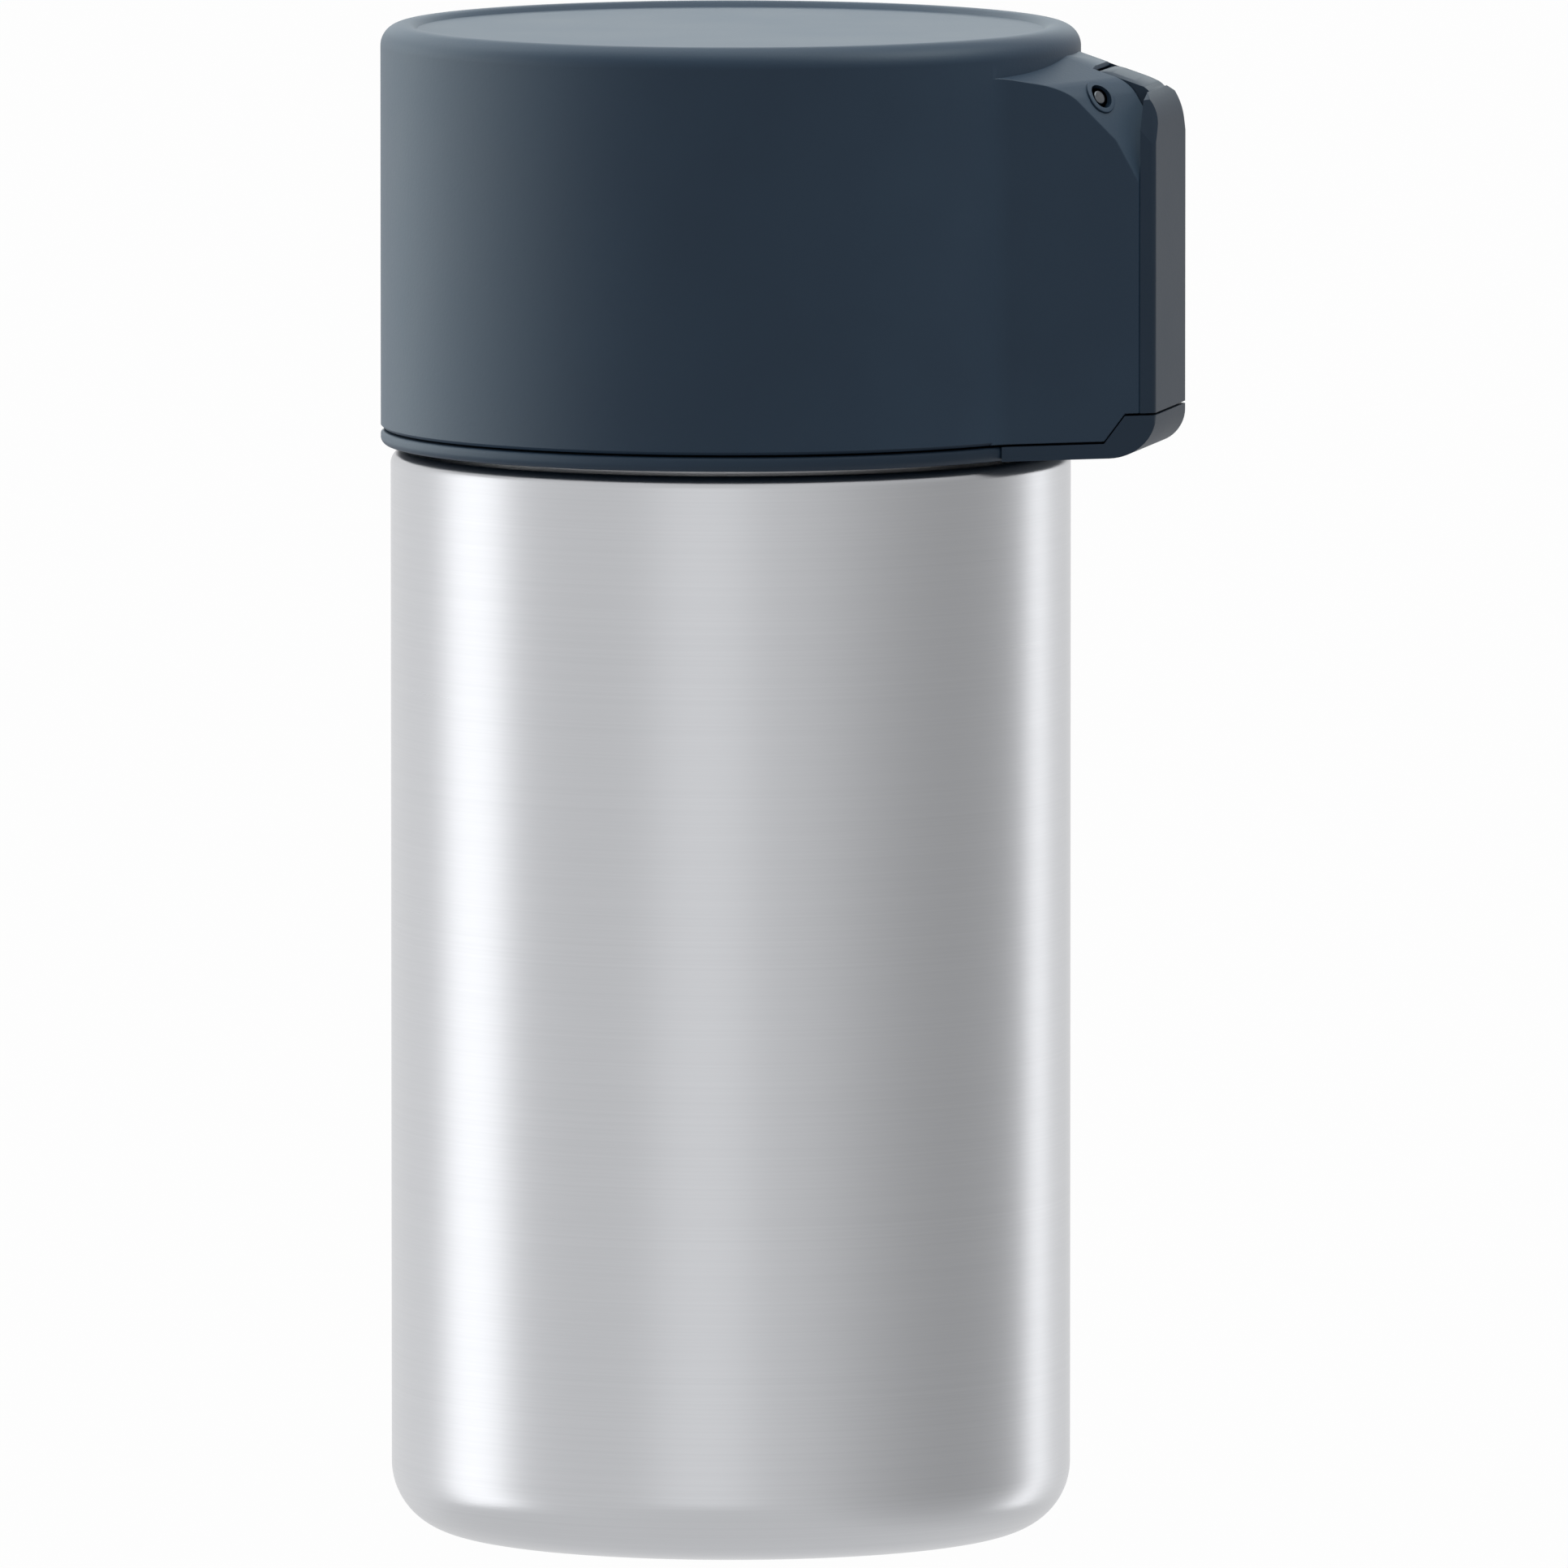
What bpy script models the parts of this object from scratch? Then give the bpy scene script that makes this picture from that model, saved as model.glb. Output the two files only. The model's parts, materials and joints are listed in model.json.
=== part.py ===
"""Travel canister: a metal can with a hinged lid that a side latch holds shut.

Metres, +Z up. The origin is the centre of the flat base. The latch side faces +X.
The lid's living hinge is a thin strip on the opposite side, at -X.
"""

import math

import bmesh
import bpy
from mathutils import Matrix, Vector

MM = 0.001

# Driving dimensions, in millimetres

CAN_RADIUS = 17.25
CAN_WALL = 0.8
CAN_BASE_CORNER = 3.5
CAN_SHOULDER_Z = 55.1
NECK_RADIUS = 15.0
NECK_TOP_Z = 61.0

LID_RADIUS = 17.75
LID_TOP_RADIUS = 17.71
LID_BOTTOM_Z = 56.24
LID_TOP_Z = 76.7
LID_TOP_CORNER = 1.1
LID_WALL = 1.45
LID_TOP_THICKNESS = 1.6
TOP_RECESS_RADIUS = 15.9
TOP_RECESS_DEPTH = 0.3

COLLAR_BOTTOM_Z = 55.38
COLLAR_UPSTAND_RADIUS = 15.9
COLLAR_UPSTAND_Z = 59.0

BLOCK_FACE_X = 22.75
BLOCK_FACE_HALF_WIDTH = 3.95
BLOCK_ROOT_X = 15.6
BLOCK_ROOT_HALF_WIDTH = 8.4
BLOCK_BLEND = 2.5
BLOCK_CORNER = 0.45
BLOCK_TOP_Z = 75.42
BLOCK_TOP_SLOPE = math.radians(18.5)
BLOCK_TOP_ROUND = 2.4
CROWN_HALF_WIDTH = 1.6
CROWN_FALL = 0.2
FACET_POINT = (22.4, 4.15, 68.4)
FACET_NORMAL = (0.759, 0.566, 0.320)
FACET_STEP = 1.0

KEEPER_Z = 57.5
KEEPER_STEP_X = 20.4
KEEPER_SLOPE_RUN = 0.95
KEEPER_CORNER = 2.1

LATCH_PIN_X = 19.65
LATCH_PIN_Z = 73.4
LATCH_PIN_RADIUS = 0.4
LATCH_PIN_HALF_LENGTH = 4.3
LEVER_INNER_X = 21.92
LEVER_KNUCKLE_RADIUS = 1.3
LEVER_KNUCKLE_HALF_WIDTH = 2.0
SLOT_X = 18.06
SLOT_ROOF_X = 18.95
SEAT_RADIUS = 0.66
SEAT_LIP = 0.22
SEAT_RISE = 0.1
SEAT_DEPTH = 0.5
PIN_HEAD_RADIUS = 0.36

STRIKER_BACK_X = 19.4
STRIKER_FRONT_X = 20.25
STRIKER_BUMP = 0.5
STRIKER_BUMP_Z = 59.6
STRIKER_TOP_Z = 60.5
STRIKER_HALF_WIDTH = 1.9

GASKET_THICKNESS = 1.2
LINER_FLANGE = 2.3
LINER_PLUG_RADIUS = 12.8

HINGE_X = -17.29
HINGE_Z = 56.14
HINGE_STRIP = 0.35
HINGE_HALF_WIDTH = 3.4
HINGE_LEAF_HEIGHT = 2.5

GAP = 0.3
SEAM = 0.2
PIN_GAP = 0.2

ROUND = 80
ROUND_INNER = 60
ROUND_PIN = 16
ROUND_SEAT = 24
EPS = 2.0


def clear_scene():
    """Remove every object that the scene starts with."""
    for item in list(bpy.data.objects):
        bpy.data.objects.remove(item, do_unlink=True)


def make_material(name, colour, roughness, metallic):
    """A plain Principled BSDF material."""
    material = bpy.data.materials.new(name)
    material.use_nodes = True
    shader = material.node_tree.nodes["Principled BSDF"]
    shader.inputs["Base Color"].default_value = (*colour, 1.0)
    shader.inputs["Roughness"].default_value = roughness
    shader.inputs["Metallic"].default_value = metallic
    return material


def mesh_object(name, bm):
    """Turn a bmesh in millimetres into an object in metres."""
    bmesh.ops.recalc_face_normals(bm, faces=bm.faces)
    bmesh.ops.scale(bm, vec=(MM, MM, MM), verts=bm.verts)
    mesh = bpy.data.meshes.new(name)
    bm.to_mesh(mesh)
    bm.free()
    item = bpy.data.objects.new(name, mesh)
    bpy.context.collection.objects.link(item)
    return item


def arc(centre, radius, start, end, steps):
    """Points on an arc in the drawing plane, angles in degrees."""
    points = []
    for step in range(steps + 1):
        angle = math.radians(start + (end - start) * step / steps)
        points.append((centre[0] + radius * math.cos(angle), centre[1] + radius * math.sin(angle)))
    return points


def revolve(name, profile, segments):
    """Spin a closed (radius, height) profile once round the Z axis."""
    bm = bmesh.new()
    verts = [bm.verts.new((radius, 0.0, height)) for radius, height in profile]
    edges = []
    for i, (radius, _) in enumerate(profile):
        if radius > 0.0 or profile[i - 1][0] > 0.0:
            edges.append(bm.edges.new((verts[i - 1], verts[i])))
    bmesh.ops.spin(bm, geom=verts + edges, cent=(0, 0, 0), axis=(0, 0, 1),
                   angle=math.tau, steps=segments, use_merge=True)
    bmesh.ops.remove_doubles(bm, verts=bm.verts, dist=1e-4)
    bmesh.ops.dissolve_degenerate(bm, edges=bm.edges, dist=1e-4)
    return mesh_object(name, bm)


def prism(name, outline, low, high, plane="XY"):
    """Extrude a closed outline: XY outlines rise along Z, XZ outlines run along Y."""
    bm = bmesh.new()
    if plane == "XY":
        verts = [bm.verts.new((x, y, low)) for x, y in outline]
        step = Vector((0.0, 0.0, high - low))
    else:
        verts = [bm.verts.new((x, low, z)) for x, z in outline]
        step = Vector((0.0, high - low, 0.0))
    face = bm.faces.new(verts)
    grown = bmesh.ops.extrude_face_region(bm, geom=[face])
    moved = [part for part in grown["geom"] if isinstance(part, bmesh.types.BMVert)]
    bmesh.ops.translate(bm, vec=step, verts=moved)
    return mesh_object(name, bm)


def box(name, low, high):
    """A box between two corners."""
    outline = [(low[0], low[1]), (high[0], low[1]), (high[0], high[1]), (low[0], high[1])]
    return prism(name, outline, low[2], high[2])


def rod(name, centre_x, centre_z, radius, low_y, high_y, sides=ROUND_PIN, bevel=0.0):
    """A round rod along Y, with its ends eased by a bevel."""
    bm = bmesh.new()
    turn = Matrix.Rotation(math.radians(90.0), 4, "X")
    shift = Matrix.Translation((centre_x, (low_y + high_y) / 2.0, centre_z))
    bmesh.ops.create_cone(bm, cap_ends=True, segments=sides, radius1=radius, radius2=radius,
                          depth=high_y - low_y, matrix=shift @ turn)
    if bevel:
        ends = [edge for edge in bm.edges if abs(edge.verts[0].co.y - edge.verts[1].co.y) < 1e-6]
        bmesh.ops.bevel(bm, geom=ends, offset=bevel, segments=2, affect="EDGES")
    return mesh_object(name, bm)


def combine(item, tool, operation):
    """Apply an exact Boolean with a tool object, then remove the tool."""
    modifier = item.modifiers.new("shape", "BOOLEAN")
    modifier.operation = operation
    modifier.solver = "EXACT"
    modifier.object = tool
    apply_modifiers(item)
    bpy.data.objects.remove(tool, do_unlink=True)


def apply_modifiers(item):
    """Replace the mesh with what its modifiers make of it."""
    graph = bpy.context.evaluated_depsgraph_get()
    mesh = bpy.data.meshes.new_from_object(item.evaluated_get(graph))
    item.modifiers.clear()
    item.data = mesh


def cut_plane(item, point, normal):
    """Slice off what lies beyond a plane and close the cut."""
    bm = bmesh.new()
    bm.from_mesh(item.data)
    place = Vector(point) * MM
    sliced = bmesh.ops.bisect_plane(bm, geom=bm.verts[:] + bm.edges[:] + bm.faces[:], dist=1e-7,
                                    plane_co=place, plane_no=Vector(normal), clear_outer=True)
    rim = [part for part in sliced["geom_cut"] if isinstance(part, bmesh.types.BMEdge)]
    bmesh.ops.contextual_create(bm, geom=rim)
    bmesh.ops.recalc_face_normals(bm, faces=bm.faces)
    bm.to_mesh(item.data)
    bm.free()


def finish(item, material, sharp=35.0):
    """Give a piece its material and smooth round faces."""
    item.data.materials.clear()
    item.data.materials.append(material)
    item.data.shade_smooth()
    item.data.set_sharp_from_angle(angle=math.radians(sharp))


def set_origin(item, x, y, z):
    """Put an object's origin on its joint axis without moving its surface."""
    point = Vector((x, y, z)) * MM
    item.data.transform(Matrix.Translation(-point))
    item.location = point


# The can

def make_can(material):
    """Deep-drawn can: rounded base corner, shoulder, neck and rolled lip."""
    inner = CAN_RADIUS - CAN_WALL
    neck_inner = NECK_RADIUS - CAN_WALL
    corner = CAN_RADIUS - CAN_BASE_CORNER
    lip = CAN_WALL / 2.0
    shoulder_round = 0.7
    profile = [(0.0, 0.0)]
    profile += arc((corner, CAN_BASE_CORNER), CAN_BASE_CORNER, -90.0, 0.0, 7)
    profile += arc((CAN_RADIUS - shoulder_round, CAN_SHOULDER_Z - shoulder_round), shoulder_round, 0.0, 90.0, 4)
    profile += [(NECK_RADIUS, CAN_SHOULDER_Z)]
    profile += arc((NECK_RADIUS - lip, NECK_TOP_Z - lip), lip, 0.0, 180.0, 6)
    profile += [(neck_inner, CAN_SHOULDER_Z - CAN_WALL)]
    profile += [(inner, CAN_SHOULDER_Z - CAN_WALL - shoulder_round)]
    profile += arc((corner, CAN_BASE_CORNER), CAN_BASE_CORNER - CAN_WALL, 0.0, -90.0, 4)
    profile += [(0.0, CAN_WALL)]
    can = revolve("can", profile, ROUND)
    finish(can, material)
    return can


# The side block, which lid, lever and collar share as one outer form

def block_outline():
    """Plan of the side block: two converging walls, blended into the lid's round wall."""
    root = Vector((BLOCK_ROOT_X, BLOCK_ROOT_HALF_WIDTH))
    face = Vector((BLOCK_FACE_X, BLOCK_FACE_HALF_WIDTH))
    along = (face - root).normalized()
    out = Vector((-along.y, along.x))
    start = root + out * BLOCK_BLEND
    reach = LID_RADIUS + BLOCK_BLEND
    middle = start.dot(along)
    centre = start + along * (math.sqrt(middle * middle - start.length_squared + reach * reach) - middle)
    first = math.degrees(math.atan2(-centre.y, -centre.x)) % 360.0
    last = math.degrees(math.atan2(-out.y, -out.x)) % 360.0
    half = arc(centre, BLOCK_BLEND, first, last, 5)
    turn = math.degrees(math.atan2(out.y, out.x))
    slack = BLOCK_CORNER * math.tan(math.radians(turn / 2.0))
    half += arc((BLOCK_FACE_X - BLOCK_CORNER, face.y - slack), BLOCK_CORNER, turn, 0.0, 4)
    mirror = [(x, -y) for x, y in reversed(half)]
    inside = LID_RADIUS - 4.0
    return [(inside, half[0][1])] + half + mirror + [(inside, -half[0][1])]


def block_side(foot):
    """Side view of the block: sloped top and round corner, down to the given foot points."""
    drop = math.tan(BLOCK_TOP_SLOPE)
    top_at_face = BLOCK_TOP_Z - (BLOCK_FACE_X - LID_RADIUS) * drop
    slack = BLOCK_TOP_ROUND * math.tan((math.pi / 2.0 - BLOCK_TOP_SLOPE) / 2.0)
    centre = (BLOCK_FACE_X - BLOCK_TOP_ROUND, top_at_face - slack)
    crest = LID_TOP_Z - 0.85
    outline = [(LID_RADIUS - 5.0, crest), (LID_RADIUS - (crest - BLOCK_TOP_Z) / drop, crest)]
    outline += arc(centre, BLOCK_TOP_ROUND, 90.0 - math.degrees(BLOCK_TOP_SLOPE), 0.0, 8)
    return outline + foot


def keeper_side():
    """Side view of the collar's half of the block: thin foot, raised lip, round corner."""
    top = LID_BOTTOM_Z - SEAM
    inside = LID_RADIUS - 2.0
    outline = [(inside, top), (KEEPER_STEP_X, top)]
    outline += [(KEEPER_STEP_X + KEEPER_SLOPE_RUN, KEEPER_Z), (BLOCK_FACE_X, KEEPER_Z)]
    centre = (BLOCK_FACE_X - KEEPER_CORNER, KEEPER_Z - 0.1)
    flat = centre[1] - COLLAR_BOTTOM_Z
    for x, z in arc((0.0, 0.0), 1.0, 0.0, -90.0, 8):
        outline.append((centre[0] + KEEPER_CORNER * x, centre[1] + flat * z))
    outline.append((inside, COLLAR_BOTTOM_Z))
    return outline


def make_block(name, side):
    """The block's plan, swept up, met with its side view, swept across."""
    block = prism(name, block_outline(), COLLAR_BOTTOM_Z - EPS, LID_TOP_Z + EPS)
    across = prism("side", side, -BLOCK_ROOT_HALF_WIDTH - EPS, BLOCK_ROOT_HALF_WIDTH + EPS, "XZ")
    combine(block, across, "INTERSECT")
    return block


def cut_crown(block):
    """Let the block's top fall away to both sides of its middle strip."""
    for side in (-1.0, 1.0):
        point = (LID_RADIUS, CROWN_HALF_WIDTH * side, BLOCK_TOP_Z)
        cut_plane(block, point, (math.tan(BLOCK_TOP_SLOPE), CROWN_FALL * side, 1.0))


def cut_facets(item, step):
    """Slice the two slanted facets beside the pin, moved outward by a step."""
    for side in (-1.0, 1.0):
        normal = Vector((FACET_NORMAL[0], FACET_NORMAL[1] * side, FACET_NORMAL[2])).normalized()
        point = Vector((FACET_POINT[0], FACET_POINT[1] * side, FACET_POINT[2])) + normal * step
        cut_plane(item, point, normal)


# The lid

def lid_profile():
    """Outer form of the lid: drafted wall, eased foot, round rim and recessed top."""
    foot = 0.15
    rim = 0.55
    top = LID_TOP_Z
    corner = (LID_TOP_RADIUS - LID_TOP_CORNER, top - LID_TOP_CORNER)
    floor = top - TOP_RECESS_DEPTH
    profile = [(0.0, LID_BOTTOM_Z), (LID_RADIUS - foot, LID_BOTTOM_Z), (LID_RADIUS, LID_BOTTOM_Z + foot)]
    profile += arc(corner, LID_TOP_CORNER, 0.0, 90.0, 8)
    profile += [(TOP_RECESS_RADIUS + rim, top)]
    profile += [(TOP_RECESS_RADIUS + rim * 0.35, top - TOP_RECESS_DEPTH * 0.2)]
    profile += [(TOP_RECESS_RADIUS, floor), (0.0, floor)]
    return profile


def lever_zone(radius, inner_x, outside):
    """Side view of what lies outside, or inside, the seam that curves round the pin."""
    seam = [(inner_x, COLLAR_BOTTOM_Z - EPS), (inner_x, LATCH_PIN_Z)]
    seam += arc((LATCH_PIN_X, LATCH_PIN_Z), radius, 0.0, 90.0, 12)
    above = LID_TOP_Z + 2.0 * EPS
    if outside:
        far = BLOCK_FACE_X + EPS
        return seam + [(LATCH_PIN_X, above), (far, above), (far, COLLAR_BOTTOM_Z - EPS)]
    inside = LID_RADIUS - 7.0
    return seam + [(inside, above), (inside, COLLAR_BOTTOM_Z - EPS)]


def make_lid(material):
    """Lid shell: round cap and side block in one moulding, hollow and slotted."""
    lid = revolve("lid_shell", lid_profile(), ROUND)
    inside = LID_RADIUS - 5.0
    block = make_block("block", block_side([(BLOCK_FACE_X, LID_BOTTOM_Z), (inside, LID_BOTTOM_Z)]))
    cut_crown(block)
    cut_facets(block, 0.0)
    wide = BLOCK_ROOT_HALF_WIDTH + EPS
    inner_x = LEVER_INNER_X - GAP
    zone = lever_zone(inner_x - LATCH_PIN_X, inner_x, True)
    combine(block, prism("lever_room", zone, -wide, wide, "XZ"), "DIFFERENCE")
    lip = KEEPER_Z + SEAM
    step = [(KEEPER_STEP_X, LID_BOTTOM_Z - EPS), (KEEPER_STEP_X, LID_BOTTOM_Z)]
    step += [(KEEPER_STEP_X + KEEPER_SLOPE_RUN, lip), (BLOCK_FACE_X + EPS, lip)]
    step += [(BLOCK_FACE_X + EPS, LID_BOTTOM_Z - EPS)]
    combine(block, prism("keeper_room", step, -wide, wide, "XZ"), "DIFFERENCE")
    combine(lid, block, "UNION")
    hollow_lid(lid)
    slot = LEVER_KNUCKLE_HALF_WIDTH + GAP
    combine(lid, prism("slot", slot_side(), -slot, slot, "XZ"), "DIFFERENCE")
    flatten_for_hinge(lid)
    low = (HINGE_X - EPS, -HINGE_HALF_WIDTH - GAP, LID_BOTTOM_Z - EPS)
    high = (HINGE_X + HINGE_STRIP + 0.05, HINGE_HALF_WIDTH + GAP, LID_BOTTOM_Z + HINGE_LEAF_HEIGHT)
    combine(lid, box("leaf", low, high), "DIFFERENCE")
    seat_pin_ends(lid)
    finish(lid, material)
    return lid


def slot_side():
    """Side view of the slot: roofed behind the knuckle, open above and in front of it."""
    room = LEVER_KNUCKLE_RADIUS + GAP
    first = math.degrees(math.acos((SLOT_X - LATCH_PIN_X) / room))
    last = math.degrees(math.acos((SLOT_ROOF_X - LATCH_PIN_X) / room))
    far = BLOCK_FACE_X + EPS
    above = LID_TOP_Z + EPS
    outline = [(SLOT_X, LID_BOTTOM_Z - EPS)]
    outline += arc((LATCH_PIN_X, LATCH_PIN_Z), room, first, last, 6)
    return outline + [(SLOT_ROOF_X, above), (far, above), (far, LID_BOTTOM_Z - EPS)]


def seat_frame(side):
    """Placing matrix, in metres, of the seat on one facet: its origin on the facet, Z outward."""
    normal = Vector((FACET_NORMAL[0], FACET_NORMAL[1] * side, FACET_NORMAL[2])).normalized()
    point = Vector((FACET_POINT[0], FACET_POINT[1] * side, FACET_POINT[2]))
    end = Vector((LATCH_PIN_X, LATCH_PIN_HALF_LENGTH * side, LATCH_PIN_Z))
    centre = end + normal * normal.dot(point - end)
    return Matrix.Translation(centre * MM) @ normal.to_track_quat("Z", "Y").to_matrix().to_4x4()


def seat_depth_of_pin():
    """How far below the facet the pin's end lies, along the facet's normal."""
    normal = Vector(FACET_NORMAL).normalized()
    end = Vector((LATCH_PIN_X, LATCH_PIN_HALF_LENGTH, LATCH_PIN_Z))
    return normal.dot(Vector(FACET_POINT) - end)


def seat_tool(name, profile):
    """A turned form set square on each of the two facets."""
    pair = []
    for side in (-1.0, 1.0):
        pair.append(revolve(name, profile, ROUND_SEAT))
        pair[-1].data.transform(seat_frame(side))
    combine(pair[0], pair[1], "UNION")
    return pair[0]


def seat_pin_ends(lid):
    """Raised lips on the facets, then the recesses and the bore that take the pin."""
    outer = SEAT_RADIUS + SEAT_LIP
    ease = SEAT_RISE / 2.0
    boss = [(0.0, -0.3), (outer, -0.3), (outer, SEAT_RISE - ease), (outer - ease, SEAT_RISE), (0.0, SEAT_RISE)]
    combine(lid, seat_tool("lip", boss), "UNION")
    recess = [(0.0, -SEAT_DEPTH), (SEAT_RADIUS, -SEAT_DEPTH), (SEAT_RADIUS, EPS), (0.0, EPS)]
    room = seat_tool("recess", recess)
    deep = LATCH_PIN_HALF_LENGTH + 0.15
    bore = rod("bore", LATCH_PIN_X, LATCH_PIN_Z, LATCH_PIN_RADIUS + PIN_GAP, -deep, deep)
    combine(room, bore, "UNION")
    combine(lid, room, "DIFFERENCE")


def hollow_lid(lid):
    """Cut the lid's inside, with a ledge that the liner rests against."""
    inner = LID_RADIUS - LID_WALL
    ledge = liner_top() + GAP
    ceiling = LID_TOP_Z - LID_TOP_THICKNESS
    hollow = [(0.0, LID_BOTTOM_Z - EPS), (inner, LID_BOTTOM_Z - EPS), (inner, ledge), (inner - 1.0, ledge)]
    hollow += [(inner - 1.0, ceiling - 1.0), (inner - 2.0, ceiling), (0.0, ceiling)]
    combine(lid, revolve("hollow", hollow, ROUND), "DIFFERENCE")


def flatten_for_hinge(item):
    """Cut the small outer flat that the hinge strip lies on."""
    wide = LID_RADIUS / 2.0
    low = (HINGE_X - EPS, -wide, COLLAR_BOTTOM_Z - EPS)
    high = (HINGE_X, wide, LID_BOTTOM_Z + HINGE_LEAF_HEIGHT + 1.0)
    combine(item, box("flat", low, high), "DIFFERENCE")


def liner_top():
    """Height of the top of the liner's flange."""
    return NECK_TOP_Z + GAP + GASKET_THICKNESS + LINER_FLANGE


def make_liner(material):
    """Inner plate of the lid: a flange that backs the gasket and a shallow plug."""
    flange = LID_RADIUS - LID_WALL - GAP
    seat = NECK_TOP_Z + GAP + GASKET_THICKNESS
    top = liner_top()
    plug = LINER_PLUG_RADIUS
    profile = [(0.0, NECK_TOP_Z - 0.65), (plug - 0.8, NECK_TOP_Z - 0.65), (plug, NECK_TOP_Z)]
    profile += [(plug, seat + GAP), (flange, seat + GAP), (flange, top)]
    profile += [(flange - 0.8, top), (flange - 1.2, top - 0.8), (0.0, top - 0.8)]
    liner = revolve("lid_liner", profile, ROUND_INNER)
    finish(liner, material)
    return liner


def make_gasket(material):
    """Silicone ring that the lid presses on the can's lip."""
    inner = 13.1
    outer = LID_RADIUS - LID_WALL - GAP
    low = NECK_TOP_Z + GAP
    high = low + GASKET_THICKNESS
    ease = 0.3
    profile = [(inner + ease, low), (NECK_RADIUS - 1.1, low), (NECK_RADIUS - 0.9, low + 0.15)]
    profile += [(NECK_RADIUS + 0.1, low + 0.15), (NECK_RADIUS + 0.3, low), (outer - ease, low)]
    profile += [(outer, low + ease), (outer, high - ease), (outer - ease, high)]
    profile += [(inner + ease, high), (inner, high - ease), (inner, low + ease)]
    gasket = revolve("lid_gasket", profile, ROUND_INNER)
    finish(gasket, material)
    return gasket


# The collar

def make_collar(material):
    """Collar round the neck: lid seat, upstand, keeper block and striker."""
    inner = NECK_RADIUS + GAP
    seat = LID_BOTTOM_Z - SEAM
    ease = 0.5
    profile = [(inner, COLLAR_BOTTOM_Z), (LID_RADIUS - ease, COLLAR_BOTTOM_Z)]
    profile += arc((LID_RADIUS - ease, COLLAR_BOTTOM_Z + ease), ease, -60.0, 0.0, 3)
    profile += [(LID_RADIUS, seat - 0.08), (LID_RADIUS - 0.08, seat)]
    profile += [(COLLAR_UPSTAND_RADIUS, seat), (COLLAR_UPSTAND_RADIUS, COLLAR_UPSTAND_Z - 0.2)]
    profile += [(COLLAR_UPSTAND_RADIUS - 0.2, COLLAR_UPSTAND_Z), (inner, COLLAR_UPSTAND_Z)]
    collar = revolve("collar", profile, ROUND)
    combine(collar, make_block("keeper", keeper_side()), "UNION")
    combine(collar, make_striker(), "UNION")
    flatten_for_hinge(collar)
    low = (HINGE_X - EPS, -HINGE_HALF_WIDTH - GAP, COLLAR_BOTTOM_Z - EPS)
    high = (HINGE_X + HINGE_STRIP + GAP, HINGE_HALF_WIDTH + GAP, LID_BOTTOM_Z)
    combine(collar, box("leaf", low, high), "DIFFERENCE")
    finish(collar, material)
    return collar


def make_striker():
    """Striker: an upright tongue in the block, with a rounded bump that faces the lever's nib."""
    foot = COLLAR_BOTTOM_Z + 0.3
    front = STRIKER_FRONT_X
    bump = STRIKER_BUMP
    outline = [(STRIKER_BACK_X, foot), (front, foot), (front, STRIKER_BUMP_Z - bump)]
    outline += arc((front, STRIKER_BUMP_Z), bump, -60.0, 60.0, 6)
    outline += [(front, STRIKER_BUMP_Z + bump), (front - 0.3, STRIKER_TOP_Z)]
    outline += [(STRIKER_BACK_X + 0.2, STRIKER_TOP_Z), (STRIKER_BACK_X, STRIKER_TOP_Z - 0.2)]
    return prism("striker", outline, -STRIKER_HALF_WIDTH, STRIKER_HALF_WIDTH, "XZ")


def make_hinge_strip(material):
    """Thin strip of the living hinge, flush with the flats, up to the fold line."""
    low = (HINGE_X, -HINGE_HALF_WIDTH, COLLAR_BOTTOM_Z + 0.07)
    high = (HINGE_X + HINGE_STRIP, HINGE_HALF_WIDTH, HINGE_Z)
    strip = box("living_hinge", low, high)
    finish(strip, material)
    return strip


def make_neck_seal(material):
    """Soft ring between the collar's upstand and the neck's lip, which keeps water out."""
    inner = NECK_RADIUS + 0.15
    outer = COLLAR_UPSTAND_RADIUS
    low = COLLAR_UPSTAND_Z + GAP
    high = low + 0.9
    ease = 0.2
    profile = [(inner, low), (outer - ease, low), (outer, low + ease), (outer, high - ease)]
    profile += [(outer - ease, high), (inner, high)]
    seal = revolve("neck_seal", profile, ROUND_INNER)
    finish(seal, material)
    return seal


# The latch

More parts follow.
